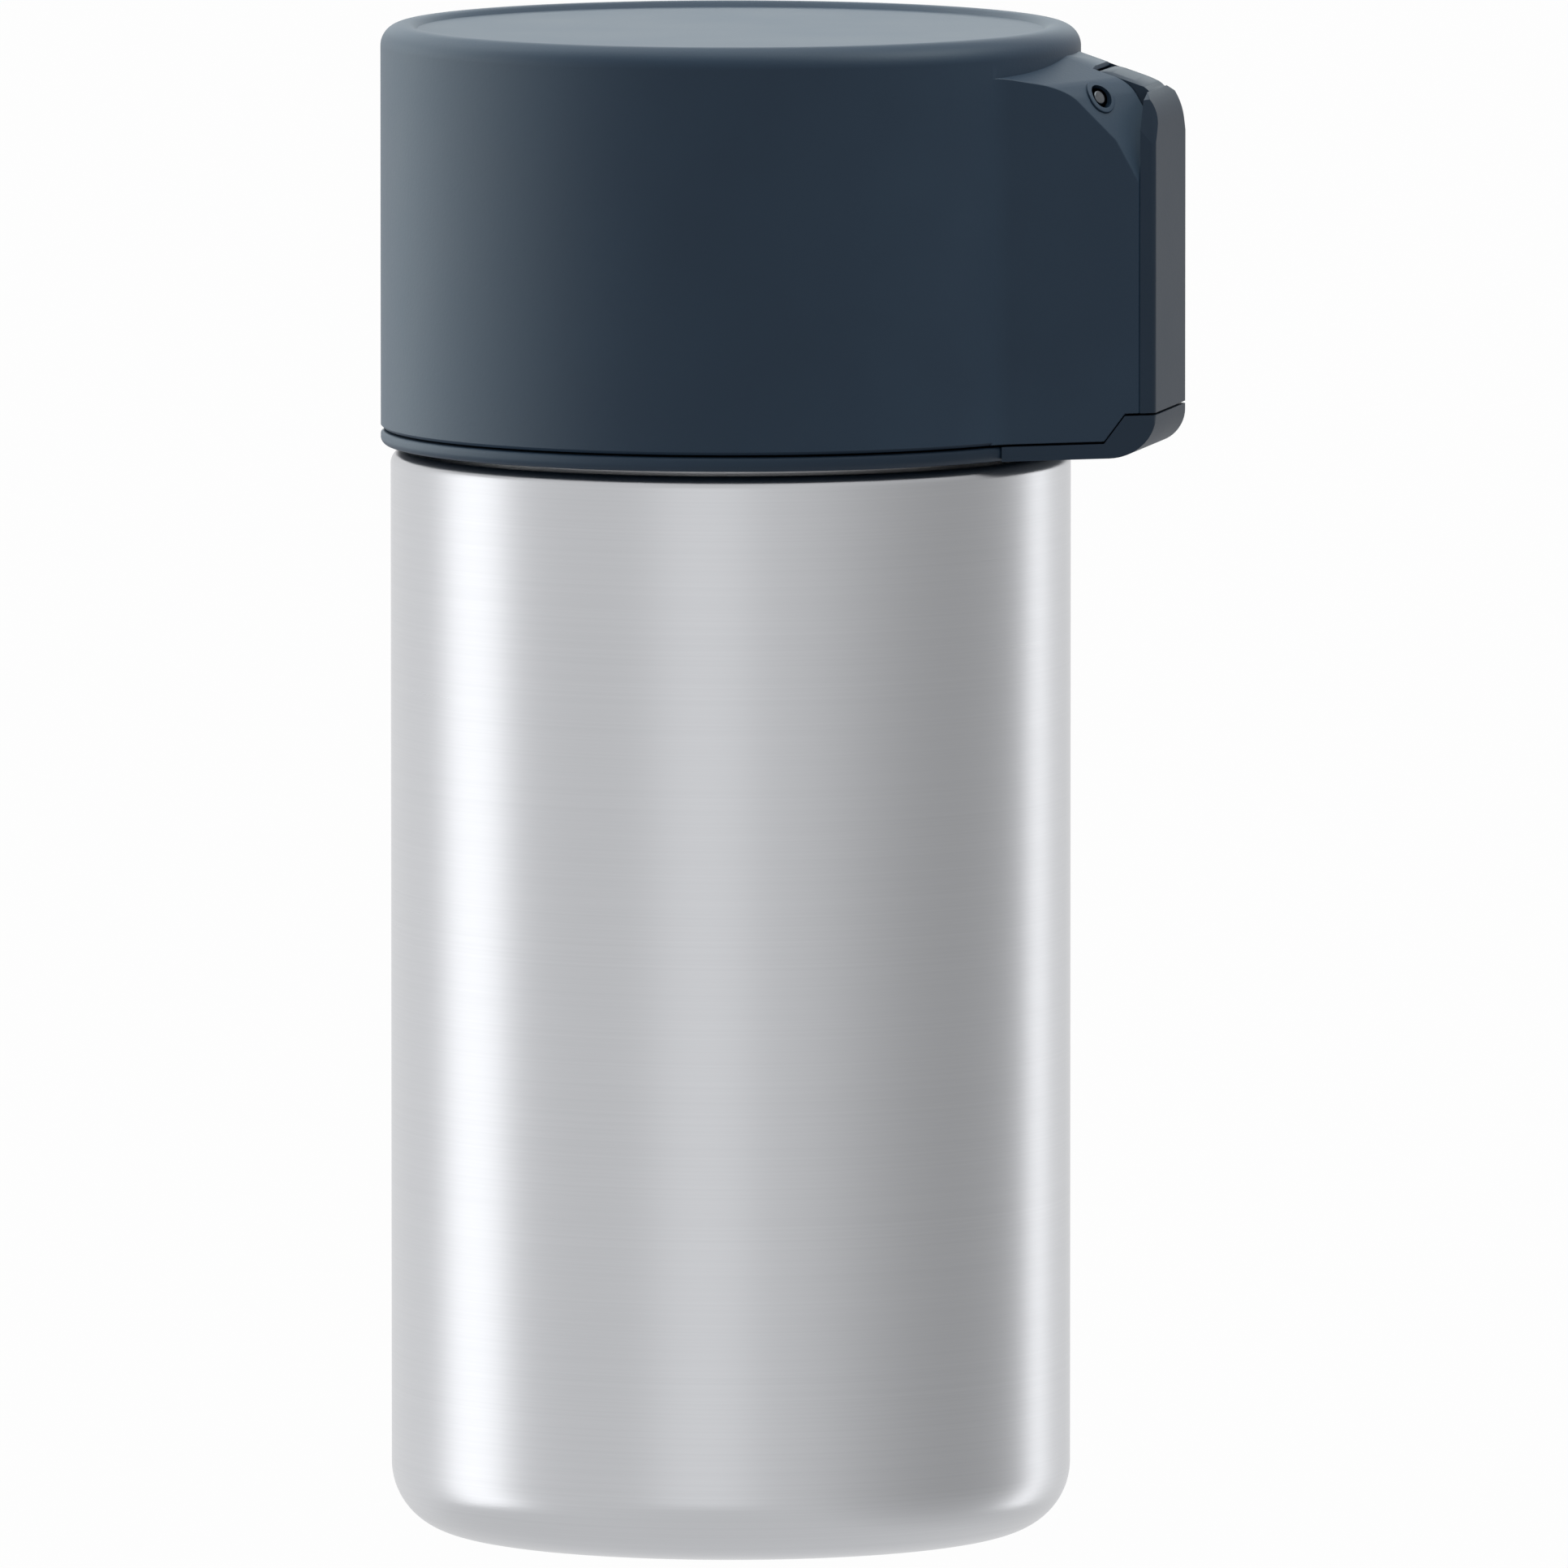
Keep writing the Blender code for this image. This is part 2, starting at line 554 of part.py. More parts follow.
def make_lever(material):
    """Latch lever: full-width outer plate, seam curved round the pin, knuckle and nib."""
    foot = KEEPER_Z + SEAM
    inside = LID_RADIUS - 5.0
    lever = make_block("latch_lever", block_side([(BLOCK_FACE_X, foot), (inside, foot)]))
    cut_crown(lever)
    cut_facets(lever, FACET_STEP)
    wide = BLOCK_ROOT_HALF_WIDTH + EPS
    zone = lever_zone(LEVER_INNER_X - LATCH_PIN_X, LEVER_INNER_X, False)
    room = prism("block_room", zone, -wide, wide, "XZ")
    half = LEVER_KNUCKLE_HALF_WIDTH
    web = 3.6
    crest = 90.0 - math.degrees(BLOCK_TOP_SLOPE)
    above = LID_TOP_Z + 3.0 * EPS
    knuckle = arc((LATCH_PIN_X, LATCH_PIN_Z), LEVER_KNUCKLE_RADIUS, crest, 235.0, 12)
    knuckle += [(LEVER_INNER_X, LATCH_PIN_Z - web), (LEVER_INNER_X + 0.4, LATCH_PIN_Z - web)]
    knuckle += [(LEVER_INNER_X + 0.4, above), (knuckle[0][0], above)]
    combine(room, prism("knuckle", knuckle, -half, half, "XZ"), "DIFFERENCE")
    combine(lever, room, "DIFFERENCE")
    nib_top = STRIKER_BUMP_Z - STRIKER_BUMP
    tip = STRIKER_FRONT_X + STRIKER_BUMP + GAP
    nib = [(LEVER_INNER_X + 0.3, nib_top), (tip + 0.15, nib_top - 0.1), (tip, nib_top - 0.3)]
    nib += [(tip + 0.1, nib_top - 0.7), (LEVER_INNER_X + 0.3, foot + 0.2)]
    combine(lever, prism("nib", nib, -STRIKER_HALF_WIDTH, STRIKER_HALF_WIDTH, "XZ"), "UNION")
    hole = LATCH_PIN_RADIUS + PIN_GAP
    combine(lever, rod("bore", LATCH_PIN_X, LATCH_PIN_Z, hole, -half - 1.0, half + 1.0), "DIFFERENCE")
    finish(lever, material)
    set_origin(lever, LATCH_PIN_X, 0.0, LATCH_PIN_Z)
    return lever


def make_pin(material):
    """Steel pin along Y, its ends staked over square to the facets."""
    reach = LATCH_PIN_HALF_LENGTH
    pin = rod("latch_pin", LATCH_PIN_X, LATCH_PIN_Z, LATCH_PIN_RADIUS, -reach, reach, ROUND_PIN, 0.08)
    low = -seat_depth_of_pin()
    radius = PIN_HEAD_RADIUS
    for side in (-1.0, 1.0):
        profile = [(0.0, low), (radius, low), (radius, -0.1), (radius - 0.06, -0.04), (0.0, -0.04)]
        head = revolve("head", profile, ROUND_PIN)
        head.data.transform(seat_frame(side))
        combine(pin, head, "UNION")
    finish(pin, material)
    set_origin(pin, LATCH_PIN_X, 0.0, LATCH_PIN_Z)
    return pin


def build():
    """Make every piece and hang the moving ones on an empty at the lid's fold line."""
    clear_scene()
    steel = make_material("brushed_steel", (0.60, 0.61, 0.63), 0.32, 1.0)
    slate = make_material("slate_plastic", (0.040, 0.058, 0.075), 0.55, 0.0)
    silicone = make_material("grey_silicone", (0.42, 0.44, 0.45), 0.6, 0.0)
    pin_steel = make_material("pin_steel", (0.55, 0.56, 0.57), 0.3, 1.0)

    make_can(steel)
    make_collar(slate)
    make_neck_seal(silicone)
    make_hinge_strip(slate)

    lid_axis = bpy.data.objects.new("lid_axis", None)
    bpy.context.collection.objects.link(lid_axis)
    lid_axis.location = Vector((HINGE_X, 0.0, HINGE_Z)) * MM
    lid_parts = [make_lid(slate), make_liner(slate), make_gasket(silicone)]
    lid_parts.append(make_pin(pin_steel))
    lid_parts.append(make_lever(slate))
    bpy.context.view_layer.update()
    for item in lid_parts:
        item.parent = lid_axis
        item.matrix_parent_inverse = lid_axis.matrix_world.inverted()


build()
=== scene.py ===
"""Looks of the travel canister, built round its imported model. Metres, +Z up, latch side at +X."""

import json
import math

import bmesh
import bpy
from mathutils import Matrix, Vector

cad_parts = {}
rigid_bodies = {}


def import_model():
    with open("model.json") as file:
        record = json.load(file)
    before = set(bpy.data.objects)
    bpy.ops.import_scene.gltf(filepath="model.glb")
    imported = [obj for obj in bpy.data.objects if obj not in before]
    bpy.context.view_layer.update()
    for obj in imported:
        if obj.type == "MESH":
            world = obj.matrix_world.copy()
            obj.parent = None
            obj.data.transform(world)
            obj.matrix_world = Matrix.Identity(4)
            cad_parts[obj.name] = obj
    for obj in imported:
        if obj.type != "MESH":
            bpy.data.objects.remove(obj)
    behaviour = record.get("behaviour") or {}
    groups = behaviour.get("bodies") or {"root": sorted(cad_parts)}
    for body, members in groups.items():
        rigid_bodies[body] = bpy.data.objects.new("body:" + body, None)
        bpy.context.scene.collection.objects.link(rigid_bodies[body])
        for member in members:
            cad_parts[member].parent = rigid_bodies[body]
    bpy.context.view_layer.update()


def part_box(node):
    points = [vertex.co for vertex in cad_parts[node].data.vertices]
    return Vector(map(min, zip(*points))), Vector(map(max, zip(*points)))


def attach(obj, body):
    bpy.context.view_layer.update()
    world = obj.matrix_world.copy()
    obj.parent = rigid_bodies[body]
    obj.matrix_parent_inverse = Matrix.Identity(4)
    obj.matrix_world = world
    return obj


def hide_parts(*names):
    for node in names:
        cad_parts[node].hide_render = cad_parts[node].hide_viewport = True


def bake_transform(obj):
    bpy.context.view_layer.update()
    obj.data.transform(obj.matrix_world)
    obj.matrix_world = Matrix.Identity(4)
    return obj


for item in list(bpy.data.objects):
    bpy.data.objects.remove(item, do_unlink=True)
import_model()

MM = 0.001
can_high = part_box("can")[1]
lid_low, lid_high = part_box("lid_shell")
collar_low, collar_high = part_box("collar")
hinge_low, hinge_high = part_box("living_hinge")
seal_low, seal_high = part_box("neck_seal")
gasket_low, gasket_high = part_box("lid_gasket")
liner_low, liner_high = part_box("lid_liner")

# Sizes in millimetres, read from the frame where it gives them. EPS is how far a cutting tool
# reaches past what it cuts.

EPS = 2.0
CAN_RADIUS = can_high.x / MM
CAN_WALL = 0.8
CAN_BASE_CORNER = 3.5
CAN_SHOULDER_Z = 55.1
NECK_RADIUS = 15.0
NECK_TOP_Z = can_high.z / MM

LID_RADIUS = lid_high.y / MM
LID_BOTTOM_Z = lid_low.z / MM
LID_TOP_Z = lid_high.z / MM
LID_TOP_CORNER = 1.1
LID_WALL = 1.45
LID_TOP_THICKNESS = 1.6
LINER_TOP_Z = liner_high.z / MM
TOP_RECESS_RADIUS = 15.9
TOP_RECESS_DEPTH = 0.3

COLLAR_BOTTOM_Z = collar_low.z / MM
COLLAR_UPSTAND_RADIUS = seal_high.y / MM
COLLAR_UPSTAND_Z = 59.0

BLOCK_FACE_X = collar_high.x / MM
BLOCK_FACE_HALF_WIDTH = 3.95
BLOCK_ROOT_X = 15.6
BLOCK_ROOT_HALF_WIDTH = 8.4
BLOCK_BLEND = 2.5
BLOCK_CORNER = 0.45
BLOCK_TOP_Z = 75.42
BLOCK_TOP_SLOPE = math.radians(18.5)
BLOCK_TOP_ROUND = 2.4
BLOCK_TOP_START_Z = LID_TOP_Z - 0.85
BLOCK_INSIDE_X = LID_RADIUS - 5.0
BLOCK_ACROSS = BLOCK_ROOT_HALF_WIDTH + EPS
BLOCK_EASE = 0.1
CROWN_HALF_WIDTH = 1.6
CROWN_FALL = 0.2
FACET_POINT = (20.94, 5.08, 71.47)
FACET_NORMAL = (0.784, 0.435, 0.443)
FACET_FOOT_NORMAL = (0.838, 0.479, 0.260)
FACET_ROUND = 2.0
FACET_ROUND_CUTS = 7
LEVER_CROWN_FALL = 0.3
LEVER_FACET_POINT = (23.159, 4.716, 68.72)
LEVER_FACET_NORMAL = (0.759, 0.566, 0.320)

KEEPER_Z = 57.5
KEEPER_STEP_X = 20.4
KEEPER_SLOPE_RUN = 0.95
KEEPER_CORNER = 2.1
KEEPER_EASE = 0.13

LATCH_PIN_X = 19.65
LATCH_PIN_Z = 73.4
LATCH_PIN_RADIUS = 0.4
LATCH_PIN_HALF_LENGTH = 4.3
LEVER_INNER_X = 22.05
LEVER_KNUCKLE_RADIUS = 1.3
LEVER_KNUCKLE_HALF_WIDTH = 2.0
LEVER_WEB = 3.6
KNUCKLE_GAP = 0.12
SLOT_X = 18.26
SLOT_ROOF_X = 19.15
SEAT_RADIUS = 0.66
SEAT_LIP = 0.25
SEAT_RISE = 0.1
SEAT_DEPTH = 0.5
PIN_HEAD_RADIUS = 0.36

STRIKER_BACK_X = 19.4
STRIKER_FRONT_X = 20.25
STRIKER_BUMP = 0.5
STRIKER_BUMP_Z = 59.6
STRIKER_TOP_Z = 60.5
STRIKER_HALF_WIDTH = 1.9

HINGE_X = hinge_low.x / MM
HINGE_Z = hinge_high.z / MM
HINGE_STRIP = (hinge_high.x - hinge_low.x) / MM
HINGE_HALF_WIDTH = hinge_high.y / MM
HINGE_LEAF_HEIGHT = 2.5

GAP = 0.3
SEAM = 0.12
LEVER_SEAM = 0.06
PIN_GAP = 0.2
ROUND = 240
ROUND_INNER = 128
ROUND_PIN = 48
ROUND_SEAT = 64
SIDES = (-1.0, 1.0)


# Mesh tools

def mesh_object(name, bm):
    """Turn a bmesh in millimetres into an object in metres."""
    bmesh.ops.recalc_face_normals(bm, faces=bm.faces)
    bmesh.ops.scale(bm, vec=(MM, MM, MM), verts=bm.verts)
    mesh = bpy.data.meshes.new(name)
    bm.to_mesh(mesh)
    bm.free()
    made = bpy.data.objects.new(name, mesh)
    bpy.context.scene.collection.objects.link(made)
    return made


def arc(centre, radius, start, end, steps):
    """Points on an arc in the drawing plane, angles in degrees."""
    points = []
    for step in range(steps + 1):
        angle = math.radians(start + (end - start) * step / steps)
        points.append((centre[0] + radius * math.cos(angle), centre[1] + radius * math.sin(angle)))
    return points


def revolve(name, profile, segments):
    """Spin a closed (radius, height) profile once round the Z axis."""
    bm = bmesh.new()
    verts = [bm.verts.new((radius, 0.0, height)) for radius, height in profile]
    edges = []
    for i, (radius, _) in enumerate(profile):
        if radius > 0.0 or profile[i - 1][0] > 0.0:
            edges.append(bm.edges.new((verts[i - 1], verts[i])))
    bmesh.ops.spin(bm, geom=verts + edges, cent=(0, 0, 0), axis=(0, 0, 1),
                   angle=math.tau, steps=segments, use_merge=True)
    bmesh.ops.remove_doubles(bm, verts=bm.verts, dist=1e-4)
    bmesh.ops.dissolve_degenerate(bm, edges=bm.edges, dist=1e-4)
    return mesh_object(name, bm)


def prism(name, outline, low, high, plane="XY"):
    """Extrude a closed outline: XY outlines rise along Z, XZ outlines run along Y."""
    bm = bmesh.new()
    if plane == "XY":
        verts = [bm.verts.new((x, y, low)) for x, y in outline]
        step = Vector((0.0, 0.0, high - low))
    else:
        verts = [bm.verts.new((x, low, z)) for x, z in outline]
        step = Vector((0.0, high - low, 0.0))
    face = bm.faces.new(verts)
    grown = bmesh.ops.extrude_face_region(bm, geom=[face])
    moved = [part for part in grown["geom"] if isinstance(part, bmesh.types.BMVert)]
    bmesh.ops.translate(bm, vec=step, verts=moved)
    return mesh_object(name, bm)


def box(name, low, high):
    """A box between two corners."""
    outline = [(low[0], low[1]), (high[0], low[1]), (high[0], high[1]), (low[0], high[1])]
    return prism(name, outline, low[2], high[2])


def rod(name, centre_x, centre_z, radius, low_y, high_y, bevel=0.0):
    """A round rod along Y, with its ends eased by a bevel."""
    bm = bmesh.new()
    turn = Matrix.Rotation(math.radians(90.0), 4, "X")
    shift = Matrix.Translation((centre_x, (low_y + high_y) / 2.0, centre_z))
    bmesh.ops.create_cone(bm, cap_ends=True, segments=ROUND_PIN, radius1=radius, radius2=radius,
                          depth=high_y - low_y, matrix=shift @ turn)
    if bevel:
        ends = [edge for edge in bm.edges if abs(edge.verts[0].co.y - edge.verts[1].co.y) < 1e-6]
        bmesh.ops.bevel(bm, geom=ends, offset=bevel, segments=3, affect="EDGES")
    return mesh_object(name, bm)


def apply_modifiers(made):
    """Replace the mesh with what its modifiers make of it."""
    graph = bpy.context.evaluated_depsgraph_get()
    mesh = bpy.data.meshes.new_from_object(made.evaluated_get(graph))
    made.modifiers.clear()
    made.data = mesh


def combine(made, tool, operation):
    """Apply an exact Boolean with a tool object, then remove the tool."""
    modifier = made.modifiers.new("shape", "BOOLEAN")
    modifier.operation = operation
    modifier.solver = "EXACT"
    modifier.object = tool
    apply_modifiers(made)
    bpy.data.objects.remove(tool, do_unlink=True)


def ease_edges(made, width, segments=3, angle=28.0):
    """Round the sharp edges of a simple solid."""
    modifier = made.modifiers.new("ease", "BEVEL")
    modifier.width = width * MM
    modifier.segments = segments
    modifier.limit_method = "ANGLE"
    modifier.angle_limit = math.radians(angle)
    apply_modifiers(made)


def cut_plane(made, point, normal):
    """Slice off what lies beyond a plane and close the cut."""
    bm = bmesh.new()
    bm.from_mesh(made.data)
    place = Vector(point) * MM
    sliced = bmesh.ops.bisect_plane(bm, geom=bm.verts[:] + bm.edges[:] + bm.faces[:], dist=1e-7,
                                    plane_co=place, plane_no=Vector(normal), clear_outer=True)
    rim = [part for part in sliced["geom_cut"] if isinstance(part, bmesh.types.BMEdge)]
    bmesh.ops.contextual_create(bm, geom=rim)
    bmesh.ops.recalc_face_normals(bm, faces=bm.faces)
    bm.to_mesh(made.data)
    bm.free()


def weigh_normals(made):
    """Let wide flat faces stay flat beside their rounded edges."""
    modifier = made.modifiers.new("weigh", "WEIGHTED_NORMAL")
    modifier.keep_sharp = True
    apply_modifiers(made)


def dress(made, material, body, node, sharp=32.0):
    """Give a piece its material and smooth faces, and let it stand for its node."""
    made.data.materials.clear()
    made.data.materials.append(material)
    made.data.shade_smooth()
    made.data.set_sharp_from_angle(angle=math.radians(sharp))
    if body:
        weigh_normals(made)
        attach(made, body)
    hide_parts(node)
    return made


# Materials

def node_of(material, kind, **values):
    """Add a shader node and set its inputs by name."""
    made = material.node_tree.nodes.new(kind)
    for name, value in values.items():
        made.inputs[name.replace("_", " ")].default_value = value
    return made


def stretched_noise(material, stretch, detail):
    """Noise over object coordinates, with a scale for each axis."""
    links = material.node_tree.links
    place = material.node_tree.nodes.new("ShaderNodeTexCoord")
    mapping = node_of(material, "ShaderNodeMapping", Scale=stretch)
    noise = node_of(material, "ShaderNodeTexNoise", Scale=1.0, Detail=detail)
    links.new(place.outputs["Object"], mapping.inputs["Vector"])
    links.new(mapping.outputs["Vector"], noise.inputs["Vector"])
    return noise.outputs["Fac"]


def ramp(material, source, low_colour, high_colour):
    """Spread the middle of a 0 to 1 value over two colours."""
    made = material.node_tree.nodes.new("ShaderNodeValToRGB")
    made.color_ramp.elements[0].position = 0.3
    made.color_ramp.elements[1].position = 0.7
    made.color_ramp.elements[0].color = (*low_colour, 1.0)
    made.color_ramp.elements[1].color = (*high_colour, 1.0)
    material.node_tree.links.new(source, made.inputs["Fac"])
    return made.outputs["Color"]


def spread(material, source, low, high):
    """Map a 0 to 1 value to a range."""
    made = node_of(material, "ShaderNodeMapRange", To_Min=low, To_Max=high)
    material.node_tree.links.new(source, made.inputs["Value"])
    return made.outputs["Result"]


def bump(material, source, strength, distance, below=None):
    """A bump from a height value, on top of another bump."""
    made = node_of(material, "ShaderNodeBump", Strength=strength, Distance=distance)
    material.node_tree.links.new(source, made.inputs["Height"])
    if below is not None:
        material.node_tree.links.new(below, made.inputs["Normal"])
    return made.outputs["Normal"]


def new_material(name):
    """A material with its Principled shader."""
    material = bpy.data.materials.new(name)
    material.use_nodes = True
    return material, material.node_tree.nodes["Principled BSDF"]


def steel_material():
    """Steel brushed round the can: fine level streaks of unlike brightness and roughness."""
    material, shader = new_material("brushed_steel")
    links = material.node_tree.links
    fine = stretched_noise(material, (60.0, 60.0, 16000.0), 3.0)
    long = stretched_noise(material, (14.0, 14.0, 9000.0), 2.0)
    grain = stretched_noise(material, (900.0, 900.0, 9000.0), 2.0)
    links.new(ramp(material, long, (0.465, 0.472, 0.490), (0.485, 0.492, 0.510)),
              shader.inputs["Base Color"])
    links.new(spread(material, fine, 0.26, 0.32), shader.inputs["Roughness"])
    normal = bump(material, fine, 0.08, 0.00002)
    normal = bump(material, grain, 0.1, 0.00002, normal)
    links.new(normal, shader.inputs["Normal"])
    shader.inputs["Metallic"].default_value = 1.0
    shader.inputs["Anisotropic"].default_value = 0.5
    return material


def plastic_material():
    """Matte moulded slate plastic: fine spark-eroded grain and a faint mottle."""
    material, shader = new_material("slate_plastic")
    links = material.node_tree.links
    mottle = stretched_noise(material, (120.0, 120.0, 120.0), 3.0)
    grain = stretched_noise(material, (5200.0, 5200.0, 5200.0), 2.0)
    links.new(ramp(material, mottle, (0.006, 0.018, 0.036), (0.009, 0.023, 0.043)),
              shader.inputs["Base Color"])
    links.new(spread(material, mottle, 0.52, 0.60), shader.inputs["Roughness"])
    links.new(bump(material, grain, 0.18, 0.00003), shader.inputs["Normal"])
    shader.inputs["Specular IOR Level"].default_value = 0.27
    return material


def silicone_material():
    """Grey silicone with a soft sheen."""
    material, shader = new_material("grey_silicone")
    links = material.node_tree.links
    mottle = stretched_noise(material, (300.0, 300.0, 300.0), 2.0)
    links.new(ramp(material, mottle, (0.36, 0.38, 0.39), (0.43, 0.45, 0.46)),
              shader.inputs["Base Color"])
    links.new(spread(material, mottle, 0.42, 0.55), shader.inputs["Roughness"])
    shader.inputs["Sheen Weight"].default_value = 0.2
    return material


def pin_material():
    """Turned steel of the pin, a little dark."""
    material, shader = new_material("pin_steel")
    links = material.node_tree.links
    streak = stretched_noise(material, (4000.0, 300.0, 4000.0), 2.0)
    links.new(ramp(material, streak, (0.10, 0.11, 0.12), (0.14, 0.15, 0.16)),
              shader.inputs["Base Color"])
    links.new(spread(material, streak, 0.28, 0.4), shader.inputs["Roughness"])
    shader.inputs["Metallic"].default_value = 1.0
    return material


# The can

def make_can(material):
    """Deep-drawn can: rounded base corner, shoulder, neck and rolled lip."""
    inner = CAN_RADIUS - CAN_WALL
    neck_inner = NECK_RADIUS - CAN_WALL
    corner = CAN_RADIUS - CAN_BASE_CORNER
    lip = CAN_WALL / 2.0
    shoulder_round = 0.7
    profile = [(0.0, 0.0)]
    profile += arc((corner, CAN_BASE_CORNER), CAN_BASE_CORNER, -90.0, 0.0, 20)
    shoulder = (CAN_RADIUS - shoulder_round, CAN_SHOULDER_Z - shoulder_round)
    profile += arc(shoulder, shoulder_round, 0.0, 90.0, 8)
    profile += [(NECK_RADIUS, CAN_SHOULDER_Z)]
    profile += arc((NECK_RADIUS - lip, NECK_TOP_Z - lip), lip, 0.0, 180.0, 12)
    profile += [(neck_inner, CAN_SHOULDER_Z - CAN_WALL)]
    profile += [(inner, CAN_SHOULDER_Z - CAN_WALL - shoulder_round)]
    profile += arc((corner, CAN_BASE_CORNER), CAN_BASE_CORNER - CAN_WALL, 0.0, -90.0, 12)
    profile += [(0.0, CAN_WALL)]
    return dress(revolve("can_body", profile, ROUND), material, "canister", "can")


# The side block, which lid, lever and collar share as one outer form

def block_outline():
    """Plan of the side block: two converging walls, blended into the lid's round wall."""
    root = Vector((BLOCK_ROOT_X, BLOCK_ROOT_HALF_WIDTH))
    face = Vector((BLOCK_FACE_X, BLOCK_FACE_HALF_WIDTH))
    along = (face - root).normalized()
    out = Vector((-along.y, along.x))
    start = root + out * BLOCK_BLEND
    reach = LID_RADIUS + BLOCK_BLEND
    middle = start.dot(along)
    slide = math.sqrt(middle * middle - start.length_squared + reach * reach) - middle
    centre = start + along * slide
    first = math.degrees(math.atan2(-centre.y, -centre.x)) % 360.0
    last = math.degrees(math.atan2(-out.y, -out.x)) % 360.0
    half = arc(centre, BLOCK_BLEND, first, last, 12)
    turn = math.degrees(math.atan2(out.y, out.x))
    slack = BLOCK_CORNER * math.tan(math.radians(turn / 2.0))
    half += arc((BLOCK_FACE_X - BLOCK_CORNER, face.y - slack), BLOCK_CORNER, turn, 0.0, 8)
    mirror = [(x, -y) for x, y in reversed(half)]
    inside = LID_RADIUS - 4.0
    return [(inside, half[0][1])] + half + mirror + [(inside, -half[0][1])]


def block_side(foot):
    """Side view of the block: sloped top and round corner, down to the given foot points."""
    drop = math.tan(BLOCK_TOP_SLOPE)
    top_at_face = BLOCK_TOP_Z - (BLOCK_FACE_X - LID_RADIUS) * drop
    slack = BLOCK_TOP_ROUND * math.tan((math.pi / 2.0 - BLOCK_TOP_SLOPE) / 2.0)
    centre = (BLOCK_FACE_X - BLOCK_TOP_ROUND, top_at_face - slack)
    crest = BLOCK_TOP_START_Z
    outline = [(BLOCK_INSIDE_X, crest), (LID_RADIUS - (crest - BLOCK_TOP_Z) / drop, crest)]
    outline += arc(centre, BLOCK_TOP_ROUND, 90.0 - math.degrees(BLOCK_TOP_SLOPE), 0.0, 16)
    return outline + foot


def keeper_side():
    """Side view of the collar's half of the block: thin foot, raised lip, round corner."""
    top = LID_BOTTOM_Z - SEAM
    inside = LID_RADIUS - 2.0
    outline = [(inside, top), (KEEPER_STEP_X, top)]
    outline += [(KEEPER_STEP_X + KEEPER_SLOPE_RUN, KEEPER_Z), (BLOCK_FACE_X, KEEPER_Z)]
    centre = (BLOCK_FACE_X - KEEPER_CORNER, KEEPER_Z - 0.1)
    flat = centre[1] - COLLAR_BOTTOM_Z
    for x, z in arc((0.0, 0.0), 1.0, 0.0, -90.0, 16):
        outline.append((centre[0] + KEEPER_CORNER * x, centre[1] + flat * z))
    outline.append((inside, COLLAR_BOTTOM_Z))
    return outline


def make_block(name, side):
    """The block's plan, swept up, met with its side view, swept across."""
    block = prism(name, block_outline(), COLLAR_BOTTOM_Z - EPS, LID_TOP_Z + EPS)
    across = prism("side", side, -BLOCK_ACROSS, BLOCK_ACROSS, "XZ")
    combine(block, across, "INTERSECT")
    return block


def on_side(values, side):
    """A place or direction given for +Y, mirrored to a side."""
    return Vector((values[0], values[1] * side, values[2]))


def cut_shoulders(made, lift=0.0):
    """Roll over from the block's sloped top into the facets, all moved outward by a lift."""
    for side in SIDES:
        crest = on_side((LID_RADIUS, CROWN_HALF_WIDTH, BLOCK_TOP_Z), side)
        up = on_side((math.tan(BLOCK_TOP_SLOPE), CROWN_FALL, 1.0), side).normalized()
        corner = on_side(FACET_POINT, side)
        out = on_side(FACET_NORMAL, side).normalized()
        foot = on_side(FACET_FOOT_NORMAL, side).normalized()
        cut_plane(made, crest + up * lift, up)
        cut_plane(made, corner + out * lift, out)
        cut_plane(made, corner + foot * lift, foot)
        both = up.dot(out)
        reach_up = up.dot(crest) - FACET_ROUND
        reach_out = out.dot(corner) - FACET_ROUND
        share = 1.0 - both * both
        axis = up * ((reach_up - both * reach_out) / share)
        axis += out * ((reach_out - both * reach_up) / share)
        for cut in range(1, FACET_ROUND_CUTS + 1):
            normal = up.slerp(out, cut / (FACET_ROUND_CUTS + 1.0))
            cut_plane(made, axis + normal * (FACET_ROUND + lift), normal)


def cut_lever_corners(lever):
    """Slope the lever's top to both sides and slice its two upper corners."""
    for side in SIDES:
        crest = on_side((LID_RADIUS, CROWN_HALF_WIDTH, BLOCK_TOP_Z), side)
        up = (math.tan(BLOCK_TOP_SLOPE), LEVER_CROWN_FALL, 1.0)
        cut_plane(lever, crest, on_side(up, side))
        cut_plane(lever, on_side(LEVER_FACET_POINT, side), on_side(LEVER_FACET_NORMAL, side))


def lever_zone(radius, inner_x, outside):
    """Side view of what lies outside, or inside, the seam that curves round the pin."""
    seam = [(inner_x, COLLAR_BOTTOM_Z - EPS), (inner_x, LATCH_PIN_Z)]
    seam += arc((LATCH_PIN_X, LATCH_PIN_Z), radius, 0.0, 90.0, 24)
    above = LID_TOP_Z + 2.0 * EPS
    if outside:
        far = BLOCK_FACE_X + EPS
        return seam + [(LATCH_PIN_X, above), (far, above), (far, COLLAR_BOTTOM_Z - EPS)]
    inside = LID_RADIUS - 7.0
    return seam + [(inside, above), (inside, COLLAR_BOTTOM_Z - EPS)]


# The lid

